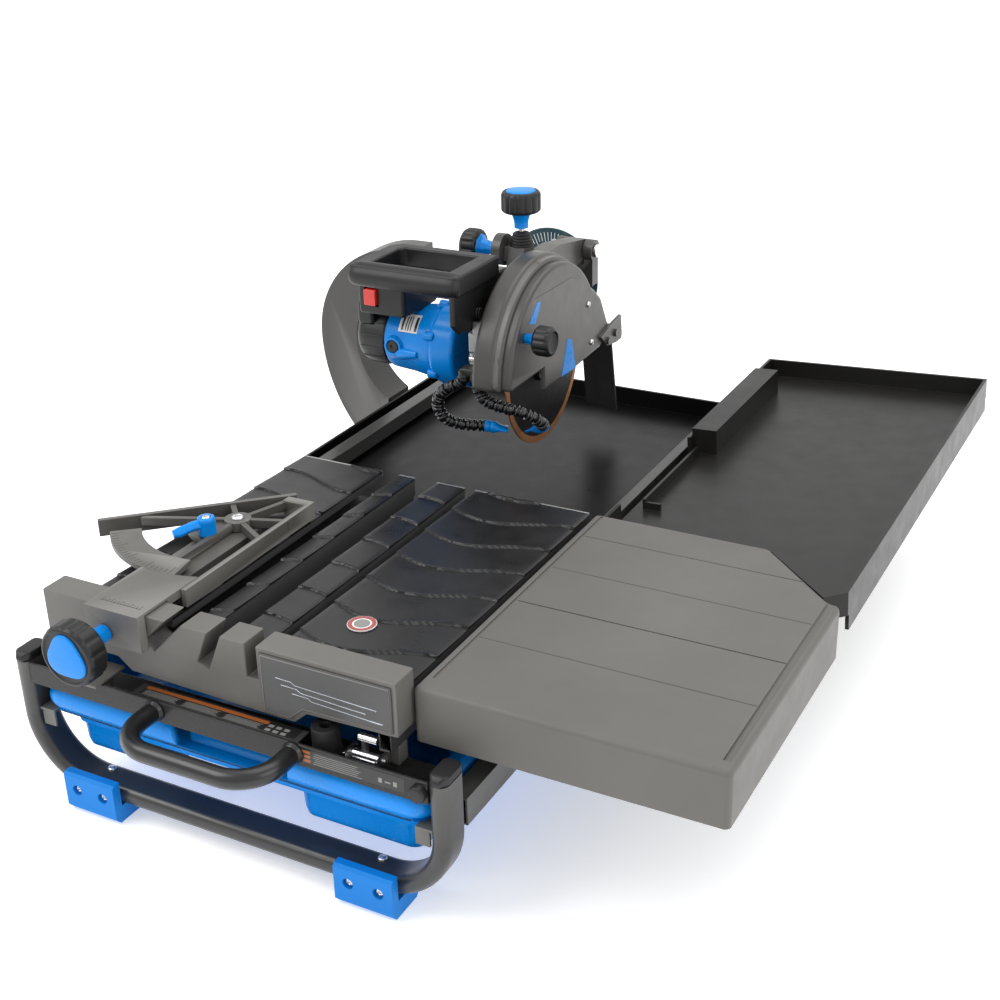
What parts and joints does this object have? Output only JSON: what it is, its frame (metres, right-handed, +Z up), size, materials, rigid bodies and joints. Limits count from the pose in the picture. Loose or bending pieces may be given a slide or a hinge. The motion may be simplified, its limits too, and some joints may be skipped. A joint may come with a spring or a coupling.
{
  "type": "wet tile saw",
  "caption": "Portable wet tile saw with a rolling table, tilting and plunging saw head, mitre guide, extension table, side drip tray and slide-out water reservoir.",
  "frame": {"origin": "centre of the bounding box's bottom face, on the floor under the saw", "axes": "+Z up; +Y away from the operator, along the rolling table's travel; +X to the operator's right, towards the extension table"},
  "size_m": [0.8752, 1.132, 0.524],
  "materials": {
    "frame_paint": "satin",
    "cast_grey": "satin",
    "head_grey": "satin",
    "cast_black": "satin",
    "black_plastic": "matte",
    "tray_plastic": "satin",
    "grey_plastic": "satin",
    "blue_plastic": "glossy",
    "blue_rubber": "matte",
    "black_rubber": "matte",
    "steel": "satin",
    "zinc": "satin",
    "blade_steel": "satin",
    "copper_iron": "satin",
    "scale_teal": "satin",
    "badge_panel": "satin",
    "alu": "satin",
    "red_plastic": "glossy"
  },
  "bodies": {
    "frame": {"front_hoop": "frame_paint", "rear_hoop": "frame_paint", "side_rails": "frame_paint", "front_bar": "frame_paint", "rear_bar": "frame_paint", "carry_handle": "frame_paint", "hoop_caps": "black_plastic", "rubber_feet": "blue_rubber", "frame_screws": "zinc", "reservoir_runners": "cast_grey", "main_tray": "tray_plastic", "slide_rails": "frame_paint", "rail_brackets": "cast_grey", "travel_stop": "black_rubber", "lock_bracket": "zinc", "c_arm": "head_grey", "bevel_pin": "steel", "extension_top": "grey_plastic", "extension_tubes": "frame_paint"},
    "transport_lock": {"lock_lever": "zinc"},
    "reservoir": {"water_reservoir": "blue_plastic", "water_pump": "black_plastic"},
    "table": {"table_casting": "cast_black", "table_pad": "black_rubber", "fence_rail": "cast_grey", "badge_plate": "badge_panel", "roller_axles": "steel"},
    "front_roller_set": {"front_rollers": "black_plastic"},
    "rear_roller_set": {"rear_rollers": "black_plastic"},
    "guide": {"guide_block": "cast_grey", "miter_pivot_screw": "zinc"},
    "guide_clamp": {"guide_knob": "black_plastic"},
    "miter": {"miter_fence": "cast_grey"},
    "miter_clamp": {"miter_lock_lever": "blue_plastic"},
    "spill_tray": {"side_tray": "tray_plastic"},
    "carrier": {"tilt_carrier": "head_grey", "plunge_pin": "steel", "bevel_scale": "scale_teal"},
    "head": {"gearbox_arm": "head_grey", "motor_housing": "blue_plastic", "motor_end_cap": "black_plastic", "brush_caps": "black_plastic", "grip_handle": "black_plastic", "blade_guard": "head_grey", "rear_flap": "black_rubber", "flap_bracket": "head_grey", "hose_splitter": "alu"},
    "plunge_clamp": {"plunge_lock_knob": "black_plastic"},
    "depth_screw": {"depth_knob": "black_plastic"},
    "guard_clamp": {"guard_knob": "black_plastic"},
    "switch": {"power_switch": "red_plastic"},
    "blade": {"saw_blade": "blade_steel", "blade_arbor": "steel"},
    "armature": {"motor_armature": "copper_iron"},
    "left_water_hose": {"left_hose": "black_plastic", "left_nozzle": "blue_plastic"},
    "right_water_hose": {"right_hose": "black_plastic", "right_nozzle": "blue_plastic"}
  },
  "joints": [
    {"name": "table_slide", "type": "slide", "parent": "frame", "child": "table", "axis": [0, 1, 0], "range_m": [0, 0.6], "deforming": ["rear_flap"]},
    {"name": "front_roller_roll", "type": "hinge", "parent": "table", "child": "front_roller_set", "pos_m": [-0.2705, -0.408, 0.1946], "axis": [-1, 0, 0], "range_deg": [-10, 3650]},
    {"name": "rear_roller_roll", "type": "hinge", "parent": "table", "child": "rear_roller_set", "pos_m": [-0.2705, -0.178, 0.1946], "axis": [-1, 0, 0], "range_deg": [-10, 3650]},
    {"name": "guide_slide", "type": "slide", "parent": "table", "child": "guide", "axis": [1, 0, 0], "range_m": [-0.06, 0.105]},
    {"name": "guide_knob_turn", "type": "hinge", "parent": "guide", "child": "guide_clamp", "pos_m": [-0.2025, -0.508, 0.224], "axis": [0, -1, 0], "continuous": true},
    {"name": "miter_swing", "type": "hinge", "parent": "guide", "child": "miter", "pos_m": [-0.2065, -0.259, 0.245], "axis": [0, 0, 1], "range_deg": [0, 45]},
    {"name": "miter_lock_turn", "type": "hinge", "parent": "guide", "child": "miter_clamp", "pos_m": [-0.21544, -0.30106, 0.255], "axis": [0, 0, 1], "range_deg": [-10, 50]},
    {"name": "side_tray_lift", "type": "slide", "parent": "frame", "child": "spill_tray", "axis": [0, 0, 1], "range_m": [0, 0.06]},
    {"name": "reservoir_slide", "type": "slide", "parent": "frame", "child": "reservoir", "axis": [0, -1, 0], "range_m": [0, 0.45]},
    {"name": "transport_lock_turn", "type": "hinge", "parent": "frame", "child": "transport_lock", "pos_m": [0.0875, -0.468, 0.154], "axis": [1, 0, 0], "range_deg": [-12, 20]},
    {"name": "bevel_tilt", "type": "hinge", "parent": "frame", "child": "carrier", "pos_m": [-0.1105, 0.312, 0.37], "axis": [0, 1, 0], "range_deg": [0, 45]},
    {"name": "plunge", "type": "hinge", "parent": "carrier", "child": "head", "pos_m": [-0.0645, 0.318, 0.42], "axis": [-1, 0, 0], "range_deg": [0, 22]},
    {"name": "plunge_lock_turn", "type": "hinge", "parent": "head", "child": "plunge_clamp", "pos_m": [-0.1505, 0.192, 0.447], "axis": [-1, 0, 0], "continuous": true},
    {"name": "depth_screw_turn", "type": "hinge", "parent": "head", "child": "depth_screw", "pos_m": [-0.0855, 0.201, 0.5], "axis": [0, 0, 1], "continuous": true},
    {"name": "guard_knob_turn", "type": "hinge", "parent": "head", "child": "guard_clamp", "pos_m": [-0.0005, 0.066, 0.382], "axis": [1, 0, 0], "continuous": true},
    {"name": "switch_press", "type": "slide", "parent": "head", "child": "switch", "axis": [0, 1, 0], "range_m": [0, 0.004], "stiffness_N_per_m": 400, "springref_m": -0.001},
    {"name": "blade_spin", "type": "hinge", "parent": "head", "child": "blade", "pos_m": [-0.0335, 0.1527, 0.3195], "axis": [1, 0, 0], "continuous": true},
    {"name": "armature_spin", "type": "hinge", "parent": "head", "child": "armature", "pos_m": [-0.2105, 0.118, 0.342], "axis": [1, 0, 0], "continuous": true},
    {"name": "left_hose_swivel", "type": "hinge", "parent": "head", "child": "left_water_hose", "pos_m": [-0.0805, 0.036, 0.331], "axis": [0, 0, 1], "range_deg": [-12, 12]},
    {"name": "right_hose_swivel", "type": "hinge", "parent": "head", "child": "right_water_hose", "pos_m": [-0.0645, 0.036, 0.331], "axis": [0, 0, 1], "range_deg": [-12, 12]}
  ],
  "couplings": [
    {"joint": "front_roller_roll", "follows": "table_slide", "rad_per_m": 105.26},
    {"joint": "rear_roller_roll", "follows": "table_slide", "rad_per_m": 105.26},
    {"joint": "armature_spin", "follows": "blade_spin", "ratio": -4.125}
  ]
}
